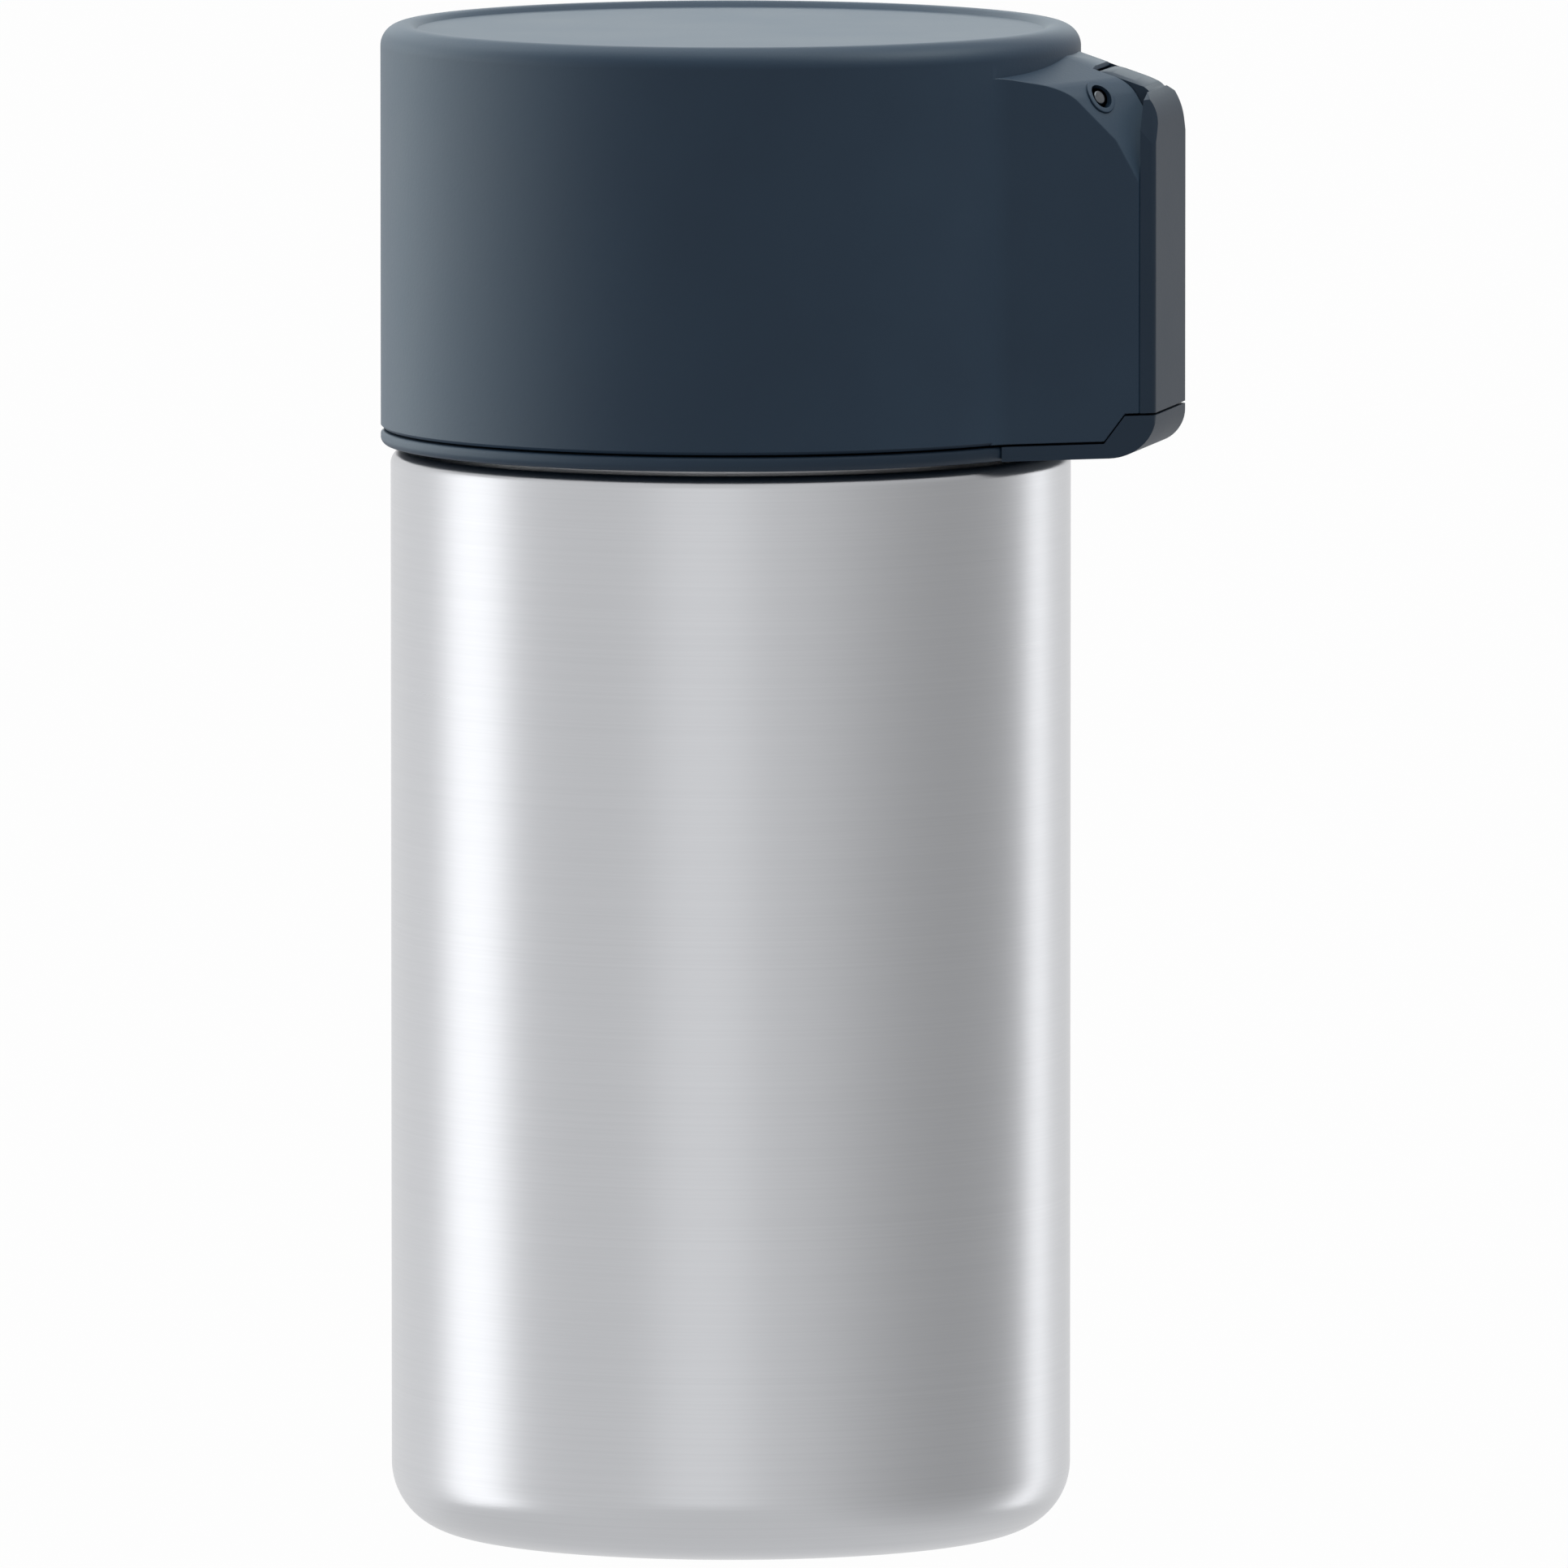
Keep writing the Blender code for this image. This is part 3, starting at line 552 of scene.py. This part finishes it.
def lid_profile():
    """Outer form of the lid: upright wall, eased foot, round rim and recessed top."""
    foot = 0.15
    rim = 0.55
    top = LID_TOP_Z
    corner = (LID_RADIUS - LID_TOP_CORNER, top - LID_TOP_CORNER)
    floor = top - TOP_RECESS_DEPTH
    profile = [(0.0, LID_BOTTOM_Z), (LID_RADIUS - foot, LID_BOTTOM_Z)]
    profile += [(LID_RADIUS, LID_BOTTOM_Z + foot)]
    profile += arc(corner, LID_TOP_CORNER, 0.0, 90.0, 16)
    profile += [(TOP_RECESS_RADIUS + rim, top)]
    profile += [(TOP_RECESS_RADIUS + rim * 0.7, top - TOP_RECESS_DEPTH * 0.06)]
    profile += [(TOP_RECESS_RADIUS + rim * 0.35, top - TOP_RECESS_DEPTH * 0.35)]
    profile += [(TOP_RECESS_RADIUS, floor + TOP_RECESS_DEPTH * 0.1)]
    profile += [(TOP_RECESS_RADIUS - 0.3, floor), (0.0, floor)]
    return profile


def make_lid(material):
    """Lid shell: round cap and side block in one moulding, hollow and slotted."""
    lid = revolve("lid_cap", lid_profile(), ROUND)
    foot = [(BLOCK_FACE_X, LID_BOTTOM_Z), (BLOCK_INSIDE_X, LID_BOTTOM_Z)]
    block = make_block("block", block_side(foot))
    cut_shoulders(block)
    inner_x = LEVER_INNER_X - LEVER_SEAM
    zone = lever_zone(inner_x - LATCH_PIN_X, inner_x, True)
    combine(block, prism("lever_room", zone, -BLOCK_ACROSS, BLOCK_ACROSS, "XZ"), "DIFFERENCE")
    lip = KEEPER_Z + SEAM
    step = [(KEEPER_STEP_X, LID_BOTTOM_Z - EPS), (KEEPER_STEP_X, LID_BOTTOM_Z)]
    step += [(KEEPER_STEP_X + KEEPER_SLOPE_RUN, lip), (BLOCK_FACE_X + EPS, lip)]
    step += [(BLOCK_FACE_X + EPS, LID_BOTTOM_Z - EPS)]
    combine(block, prism("keeper_room", step, -BLOCK_ACROSS, BLOCK_ACROSS, "XZ"), "DIFFERENCE")
    ease_edges(block, BLOCK_EASE)
    combine(lid, block, "UNION")
    hollow_lid(lid)
    slot = LEVER_KNUCKLE_HALF_WIDTH + KNUCKLE_GAP
    combine(lid, prism("slot", slot_side(), -slot, slot, "XZ"), "DIFFERENCE")
    flatten_for_hinge(lid)
    cut_leaf(lid, 0.05, LID_BOTTOM_Z - EPS, LID_BOTTOM_Z + HINGE_LEAF_HEIGHT)
    seat_pin_ends(lid)
    return dress(lid, material, "lid", "lid_shell")


def slot_side():
    """Side view of the slot: roofed behind the knuckle, open above and in front of it."""
    room = LEVER_KNUCKLE_RADIUS + KNUCKLE_GAP
    first = math.degrees(math.acos((SLOT_X - LATCH_PIN_X) / room))
    last = math.degrees(math.acos((SLOT_ROOF_X - LATCH_PIN_X) / room))
    far = BLOCK_FACE_X + EPS
    above = LID_TOP_Z + EPS
    outline = [(SLOT_X, LID_BOTTOM_Z - EPS)]
    outline += arc((LATCH_PIN_X, LATCH_PIN_Z), room, first, last, 6)
    return outline + [(SLOT_ROOF_X, above), (far, above), (far, LID_BOTTOM_Z - EPS)]


def seat_frame(side):
    """Placing matrix, in metres, of the seat on one facet: its origin on the facet, Z outward."""
    normal = on_side(FACET_NORMAL, side).normalized()
    end = on_side((LATCH_PIN_X, LATCH_PIN_HALF_LENGTH, LATCH_PIN_Z), side)
    centre = end + normal * normal.dot(on_side(FACET_POINT, side) - end)
    return Matrix.Translation(centre * MM) @ normal.to_track_quat("Z", "Y").to_matrix().to_4x4()


def seat_depth_of_pin():
    """How far below the facet the pin's end lies, along the facet's normal."""
    normal = Vector(FACET_NORMAL).normalized()
    end = Vector((LATCH_PIN_X, LATCH_PIN_HALF_LENGTH, LATCH_PIN_Z))
    return normal.dot(Vector(FACET_POINT) - end)


def seat_tool(name, profile):
    """A turned form set square on each of the two facets."""
    pair = []
    for side in SIDES:
        pair.append(revolve(name, profile, ROUND_SEAT))
        pair[-1].data.transform(seat_frame(side))
    combine(pair[0], pair[1], "UNION")
    return pair[0]


def seat_pin_ends(lid):
    """Raised lips on the facets, then the recesses and the bore that take the pin."""
    outer = SEAT_RADIUS + SEAT_LIP
    ease = SEAT_RISE / 2.0
    boss = [(0.0, -0.3), (outer, -0.3), (outer, SEAT_RISE - ease)]
    boss += arc((outer - ease, SEAT_RISE - ease), ease, 0.0, 90.0, 4)
    boss += [(0.0, SEAT_RISE)]
    lips = seat_tool("lip", boss)
    cut_shoulders(lips, SEAT_RISE)
    combine(lid, lips, "UNION")
    recess = [(0.0, -SEAT_DEPTH), (SEAT_RADIUS, -SEAT_DEPTH), (SEAT_RADIUS, EPS), (0.0, EPS)]
    room = seat_tool("recess", recess)
    deep = LATCH_PIN_HALF_LENGTH + 0.15
    bore = rod("bore", LATCH_PIN_X, LATCH_PIN_Z, LATCH_PIN_RADIUS + PIN_GAP, -deep, deep)
    combine(room, bore, "UNION")
    combine(lid, room, "DIFFERENCE")


def hollow_lid(lid):
    """Cut the lid's inside, with a ledge that the liner rests against."""
    inner = LID_RADIUS - LID_WALL
    ledge = LINER_TOP_Z + GAP
    ceiling = LID_TOP_Z - LID_TOP_THICKNESS
    hollow = [(0.0, LID_BOTTOM_Z - EPS), (inner, LID_BOTTOM_Z - EPS)]
    hollow += [(inner, ledge), (inner - 1.0, ledge)]
    hollow += [(inner - 1.0, ceiling - 1.0), (inner - 2.0, ceiling), (0.0, ceiling)]
    combine(lid, revolve("hollow", hollow, ROUND), "DIFFERENCE")


def flatten_for_hinge(made):
    """Cut the small outer flat that the hinge strip lies on."""
    wide = LID_RADIUS / 2.0
    low = (HINGE_X - EPS, -wide, COLLAR_BOTTOM_Z - EPS)
    high = (HINGE_X, wide, LID_BOTTOM_Z + HINGE_LEAF_HEIGHT + 1.0)
    combine(made, box("flat", low, high), "DIFFERENCE")


def cut_leaf(made, behind, bottom, top):
    """Cut the pocket that the hinge strip lies in, with some room behind the strip."""
    wide = HINGE_HALF_WIDTH + GAP
    low = (HINGE_X - EPS, -wide, bottom)
    high = (HINGE_X + HINGE_STRIP + behind, wide, top)
    combine(made, box("leaf", low, high), "DIFFERENCE")


def make_liner(material):
    """Inner plate of the lid: a flange that backs the gasket and a shallow plug."""
    flange = liner_high.x / MM
    bottom = liner_low.z / MM
    seat = gasket_high.z / MM
    plug = 12.8
    profile = [(0.0, bottom), (plug - 0.8, bottom), (plug - 0.3, bottom + 0.15)]
    profile += [(plug, bottom + 0.65), (plug, seat + GAP)]
    profile += [(flange, seat + GAP), (flange, LINER_TOP_Z)]
    profile += [(flange - 0.8, LINER_TOP_Z), (flange - 1.2, seat + 1.5), (0.0, seat + 1.5)]
    liner = revolve("lid_inner_plate", profile, ROUND_INNER)
    return dress(liner, material, "lid", "lid_liner")


def make_gasket(material):
    """Silicone ring that the lid presses on the can's lip."""
    inner = 13.1
    outer = gasket_high.x / MM
    low = gasket_low.z / MM
    high = gasket_high.z / MM
    ease = 0.3
    profile = [(inner + ease, low), (NECK_RADIUS - 1.1, low), (NECK_RADIUS - 0.9, low + 0.15)]
    profile += [(NECK_RADIUS + 0.1, low + 0.15), (NECK_RADIUS + 0.3, low)]
    profile += arc((outer - ease, low + ease), ease, -90.0, 0.0, 5)
    profile += arc((outer - ease, high - ease), ease, 0.0, 90.0, 5)
    profile += arc((inner + ease, high - ease), ease, 90.0, 180.0, 5)
    profile += arc((inner + ease, low + ease), ease, 180.0, 255.0, 5)
    gasket = revolve("lid_seal_ring", profile, ROUND_INNER)
    return dress(gasket, material, "lid", "lid_gasket")


# The collar

def make_collar(material):
    """Collar round the neck: lid seat, upstand, keeper block and striker."""
    inner = NECK_RADIUS + GAP
    seat = LID_BOTTOM_Z - SEAM
    ease = 0.38
    rim = 0.2
    profile = [(inner, COLLAR_BOTTOM_Z), (LID_RADIUS - ease, COLLAR_BOTTOM_Z)]
    profile += arc((LID_RADIUS - ease, COLLAR_BOTTOM_Z + ease), ease, -60.0, 0.0, 8)
    profile += arc((LID_RADIUS - rim, seat - rim), rim, 0.0, 90.0, 6)
    profile += [(COLLAR_UPSTAND_RADIUS, seat), (COLLAR_UPSTAND_RADIUS, COLLAR_UPSTAND_Z - 0.2)]
    profile += [(COLLAR_UPSTAND_RADIUS - 0.2, COLLAR_UPSTAND_Z), (inner, COLLAR_UPSTAND_Z)]
    collar = revolve("neck_collar", profile, ROUND)
    keeper = make_block("keeper", keeper_side())
    ease_edges(keeper, KEEPER_EASE)
    combine(collar, keeper, "UNION")
    combine(collar, make_striker(), "UNION")
    flatten_for_hinge(collar)
    cut_leaf(collar, GAP, COLLAR_BOTTOM_Z - EPS, LID_BOTTOM_Z)
    return dress(collar, material, "canister", "collar")


def make_striker():
    """Striker: an upright tongue in the block, with a rounded bump that faces the lever's nib."""
    foot = COLLAR_BOTTOM_Z + 0.3
    front = STRIKER_FRONT_X
    crown = STRIKER_BUMP
    outline = [(STRIKER_BACK_X, foot), (front, foot), (front, STRIKER_BUMP_Z - crown)]
    outline += arc((front, STRIKER_BUMP_Z), crown, -60.0, 60.0, 10)
    outline += [(front, STRIKER_BUMP_Z + crown), (front - 0.3, STRIKER_TOP_Z)]
    outline += [(STRIKER_BACK_X + 0.2, STRIKER_TOP_Z), (STRIKER_BACK_X, STRIKER_TOP_Z - 0.2)]
    return prism("striker", outline, -STRIKER_HALF_WIDTH, STRIKER_HALF_WIDTH, "XZ")


def make_hinge_strip(material):
    """Thin strip of the living hinge, necked at the fold, between collar and lid."""
    bottom = hinge_low.z / MM
    top = LID_BOTTOM_Z + HINGE_LEAF_HEIGHT - 0.2
    outer = HINGE_X + 0.02
    inner = HINGE_X + HINGE_STRIP - 0.02
    neck = 0.1
    reach = 0.35
    rows = 14
    heights = [bottom, HINGE_Z - reach]
    heights += [HINGE_Z - reach + 2.0 * reach * row / rows for row in range(1, rows)]
    heights += [HINGE_Z + reach, top]
    outside = [(outer, z) for z in heights]
    inside = []
    for z in reversed(heights):
        share = max(0.0, 1.0 - abs(z - HINGE_Z) / reach)
        inside.append((inner - neck * (1.0 - math.cos(math.pi * share)) / 2.0, z))
    strip = prism("hinge_film", outside + inside, -HINGE_HALF_WIDTH, HINGE_HALF_WIDTH, "XZ")
    bm = bmesh.new()
    bm.from_mesh(strip.data)
    flanks = [face for face in bm.faces if len(face.verts) > 4]
    bmesh.ops.triangulate(bm, faces=flanks)
    bm.to_mesh(strip.data)
    bm.free()
    dress(strip, material, "", "living_hinge")
    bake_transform(strip)
    return strip


def make_neck_seal(material):
    """Soft ring between the collar's upstand and the neck's lip."""
    inner = NECK_RADIUS + 0.15
    outer = COLLAR_UPSTAND_RADIUS
    low = seal_low.z / MM
    high = seal_high.z / MM
    ease = 0.25
    profile = [(inner, low)]
    profile += arc((outer - ease, low + ease), ease, -90.0, 0.0, 6)
    profile += arc((outer - ease, high - ease), ease, 0.0, 90.0, 6)
    profile += [(inner, high)]
    seal = revolve("neck_ring", profile, ROUND_INNER)
    return dress(seal, material, "canister", "neck_seal")


# The latch

def make_lever(material):
    """Latch lever: full-width outer plate, seam curved round the pin, knuckle and nib."""
    foot = KEEPER_Z + SEAM
    lever = make_block("lever", block_side([(BLOCK_FACE_X, foot), (BLOCK_INSIDE_X, foot)]))
    cut_lever_corners(lever)
    zone = lever_zone(LEVER_INNER_X - LATCH_PIN_X, LEVER_INNER_X, False)
    room = prism("block_room", zone, -BLOCK_ACROSS, BLOCK_ACROSS, "XZ")
    half = LEVER_KNUCKLE_HALF_WIDTH
    crest = 90.0 - math.degrees(BLOCK_TOP_SLOPE)
    above = LID_TOP_Z + 3.0 * EPS
    knuckle = arc((LATCH_PIN_X, LATCH_PIN_Z), LEVER_KNUCKLE_RADIUS, crest, 235.0, 24)
    inside = LEVER_INNER_X + 0.4
    web = LATCH_PIN_Z - LEVER_WEB
    knuckle += [(LEVER_INNER_X, web), (inside, web), (inside, above), (knuckle[0][0], above)]
    combine(room, prism("knuckle", knuckle, -half, half, "XZ"), "DIFFERENCE")
    combine(lever, room, "DIFFERENCE")
    ease_edges(lever, BLOCK_EASE)
    combine(lever, make_nib(foot + 0.2), "UNION")
    hole = LATCH_PIN_RADIUS + PIN_GAP
    bore = rod("bore", LATCH_PIN_X, LATCH_PIN_Z, hole, -half - 1.0, half + 1.0)
    combine(lever, bore, "DIFFERENCE")
    return dress(lever, material, "lever", "latch_lever")


def make_nib(foot):
    """Nib that points from the lever's inner face at the striker, just under its bump."""
    top = STRIKER_BUMP_Z - STRIKER_BUMP
    tip = STRIKER_FRONT_X + STRIKER_BUMP + GAP
    root = LEVER_INNER_X + 0.3
    outline = [(root, top), (tip + 0.15, top - 0.1), (tip, top - 0.3), (tip + 0.1, top - 0.7)]
    outline += [(root, foot)]
    return prism("nib", outline, -STRIKER_HALF_WIDTH, STRIKER_HALF_WIDTH, "XZ")


def make_pin(material):
    """Steel pin along Y, its ends staked over square to the facets."""
    reach = LATCH_PIN_HALF_LENGTH
    ease = 0.08
    pin = rod("hinge_rivet", LATCH_PIN_X, LATCH_PIN_Z, LATCH_PIN_RADIUS, -reach, reach, bevel=ease)
    low = -seat_depth_of_pin()
    high = -0.04
    radius = PIN_HEAD_RADIUS
    profile = [(0.0, low), (radius, low)]
    profile += arc((radius - ease, high - ease), ease, 0.0, 90.0, 5)
    profile += [(0.0, high)]
    for side in SIDES:
        head = revolve("head", profile, ROUND_PIN)
        head.data.transform(seat_frame(side))
        combine(pin, head, "UNION")
    return dress(pin, material, "lid", "latch_pin")


# Stage, light and camera

VIEW_TURN = math.radians(12.0)
VIEW_BACK = Vector((math.sin(VIEW_TURN), -math.cos(VIEW_TURN), 0.0))
VIEW_RIGHT = Vector((math.cos(VIEW_TURN), math.sin(VIEW_TURN), 0.0))
CAMERA_DISTANCE = 1.64
CAMERA_HEIGHT = 0.194
AIM_HEIGHT = 0.038
AIM_RIGHT = 0.0027
LENS = 745.0
DARK_WALL_TURN = 84.0
WHITE = (1.0, 1.0, 1.0)
COOL = (0.9, 1.0, 1.0)
LAMP_AIM = Vector((0.0, 0.0, 0.045))
WORLD_STRENGTH = 0.5
DARK_WALL_STRENGTH = 0.58


def make_camera():
    """A long lens, turned twelve degrees towards the latch and a little above."""
    data = bpy.data.cameras.new("camera")
    data.lens = LENS
    data.sensor_width = 36.0
    data.clip_start = 0.05
    data.clip_end = 50.0
    camera = bpy.data.objects.new("camera", data)
    bpy.context.scene.collection.objects.link(camera)
    aim = VIEW_RIGHT * AIM_RIGHT + Vector((0.0, 0.0, AIM_HEIGHT))
    place = VIEW_BACK * CAMERA_DISTANCE + VIEW_RIGHT * AIM_RIGHT
    place += Vector((0.0, 0.0, CAMERA_HEIGHT))
    camera.location = place
    camera.rotation_euler = (aim - place).to_track_quat("-Z", "Y").to_euler()
    bpy.context.scene.camera = camera


def view_direction(turn):
    """Level direction at an angle to the right of the camera's side."""
    angle = math.radians(turn)
    return VIEW_BACK * math.cos(angle) + VIEW_RIGHT * math.sin(angle)


def make_lamp(name, turn, height, distance, size, power, lit, tint=WHITE, shading=None):
    """An area lamp that lights only some pieces, and is shaded by all of them or by a few."""
    data = bpy.data.lights.new(name, "AREA")
    data.shape = "RECTANGLE"
    data.size, data.size_y = size
    data.energy = power
    data.color = tint
    lamp = bpy.data.objects.new(name, data)
    bpy.context.scene.collection.objects.link(lamp)
    lamp.location = view_direction(turn) * distance + Vector((0.0, 0.0, height))
    lamp.rotation_euler = (LAMP_AIM - lamp.location).to_track_quat("-Z", "Y").to_euler()
    lamp.visible_camera = False
    lamp.light_linking.receiver_collection = lit
    if shading:
        lamp.light_linking.blocker_collection = shading


def lit_group(name, pieces):
    """A group of pieces that a lamp can be kept to."""
    group = bpy.data.collections.new(name)
    for piece in pieces:
        group.objects.link(piece)
    return group


def seen_directly(tree):
    """A value of 1 for camera, glossy and transmission rays."""
    paths = tree.nodes.new("ShaderNodeLightPath")
    first = tree.nodes.new("ShaderNodeMath")
    first.operation = "MAXIMUM"
    second = tree.nodes.new("ShaderNodeMath")
    second.operation = "MAXIMUM"
    tree.links.new(paths.outputs["Is Camera Ray"], first.inputs[0])
    tree.links.new(paths.outputs["Is Glossy Ray"], first.inputs[1])
    tree.links.new(first.outputs[0], second.inputs[0])
    tree.links.new(paths.outputs["Is Transmission Ray"], second.inputs[1])
    return second.outputs[0]


def make_floor():
    """A wide pale floor that keeps the canister's soft shadow."""
    size = 12.0
    corners = [(-size, -size), (size, -size), (size, size), (-size, size)]
    floor = prism("floor", [(x / MM, y / MM) for x, y in corners], -5.0, -0.01)
    material, shader = new_material("pale_floor")
    tree = material.node_tree
    shader.inputs["Base Color"].default_value = (0.82, 0.82, 0.82, 1.0)
    shader.inputs["Roughness"].default_value = 0.9
    shader.inputs["Specular IOR Level"].default_value = 0.0
    glow = tree.nodes.new("ShaderNodeEmission")
    glow.inputs["Strength"].default_value = 1.0
    share = node_of(material, "ShaderNodeMath")
    share.operation = "MULTIPLY"
    share.inputs[1].default_value = 0.975
    tree.links.new(seen_directly(tree), share.inputs[0])
    mix = tree.nodes.new("ShaderNodeMixShader")
    tree.links.new(share.outputs[0], mix.inputs[0])
    tree.links.new(shader.outputs[0], mix.inputs[1])
    tree.links.new(glow.outputs[0], mix.inputs[2])
    tree.links.new(mix.outputs[0], tree.nodes["Material Output"].inputs["Surface"])
    floor.data.materials.append(material)
    floor.visible_glossy = False
    floor.visible_shadow = False


def make_world():
    """A plain pale studio, white where it is seen, with a dark wall mirrored at the right."""
    world = bpy.data.worlds.new("studio")
    bpy.context.scene.world = world
    world.use_nodes = True
    tree = world.node_tree
    background = tree.nodes["Background"]
    background.inputs["Color"].default_value = (1.0, 1.0, 1.0, 1.0)
    place = tree.nodes.new("ShaderNodeTexCoord")
    facing = tree.nodes.new("ShaderNodeVectorMath")
    facing.operation = "DOT_PRODUCT"
    facing.inputs[1].default_value = view_direction(DARK_WALL_TURN)
    tree.links.new(place.outputs["Generated"], facing.inputs[0])
    wall = tree.nodes.new("ShaderNodeMapRange")
    wall.inputs["From Min"].default_value = 0.52
    wall.inputs["From Max"].default_value = 1.0
    wall.inputs["To Min"].default_value = 1.0
    wall.inputs["To Max"].default_value = DARK_WALL_STRENGTH
    tree.links.new(facing.outputs["Value"], wall.inputs["Value"])
    level = tree.nodes.new("ShaderNodeMix")
    level.data_type = "FLOAT"
    level.inputs[2].default_value = WORLD_STRENGTH
    tree.links.new(seen_directly(tree), level.inputs[0])
    tree.links.new(wall.outputs["Result"], level.inputs[3])
    tree.links.new(level.outputs[0], background.inputs["Strength"])


steel = steel_material()
plastic = plastic_material()
silicone = silicone_material()
pin_steel = pin_material()
can = make_can(steel)
collar = make_collar(plastic)
make_neck_seal(silicone)
lid = make_lid(plastic)
make_liner(plastic)
make_gasket(silicone)
lever = make_lever(plastic)
pin = make_pin(pin_steel)
hinge_strip = make_hinge_strip(plastic)

make_floor()
make_world()
make_camera()
dark_pieces = lit_group("dark_pieces", [collar, lid, lever, pin, hinge_strip])
bright_pieces = lit_group("bright_pieces", [can])
lid_alone = lit_group("lid_alone", [lid])
lid_and_can = lit_group("lid_and_can", [lid, collar, can])
make_lamp("left_softbox", -96.0, 0.0, 0.6, (0.3, 0.6), 0.8, bright_pieces)
make_lamp("left_back_glow", -142.0, 0.0, 0.6, (0.35, 0.6), 0.09, bright_pieces)
make_lamp("right_strip", 126.0, 0.0, 0.6, (0.12, 0.6), 0.44, bright_pieces)
make_lamp("front_glow", -9.0, 0.0, 0.9, (0.5, 0.7), 0.35, bright_pieces)
make_lamp("plastic_left", -116.0, 0.1, 0.6, (0.6, 0.4), 2.5, dark_pieces, COOL)
make_lamp("plastic_left_front", -80.0, 0.1, 0.6, (0.5, 0.4), 1.9, dark_pieces, COOL)
make_lamp("facet_light", 84.0, 0.6, 0.5, (0.25, 0.25), 4.0, lid_alone, COOL, lid_and_can)
make_lamp("rim_light", -125.0, 0.5, 0.5, (0.5, 0.4), 2.6, dark_pieces, COOL)
make_lamp("top_back", 180.0, 0.25, 0.5, (0.5, 0.2), 0.7, dark_pieces, COOL)
make_lamp("top_softbox", 170.0, 0.75, 0.25, (0.5, 0.4), 1.5, dark_pieces, COOL)
make_lamp("overhead", 0.0, 0.7, 0.12, (0.5, 0.3), 1.6, dark_pieces, COOL)
bpy.context.scene.view_settings.view_transform = "Standard"
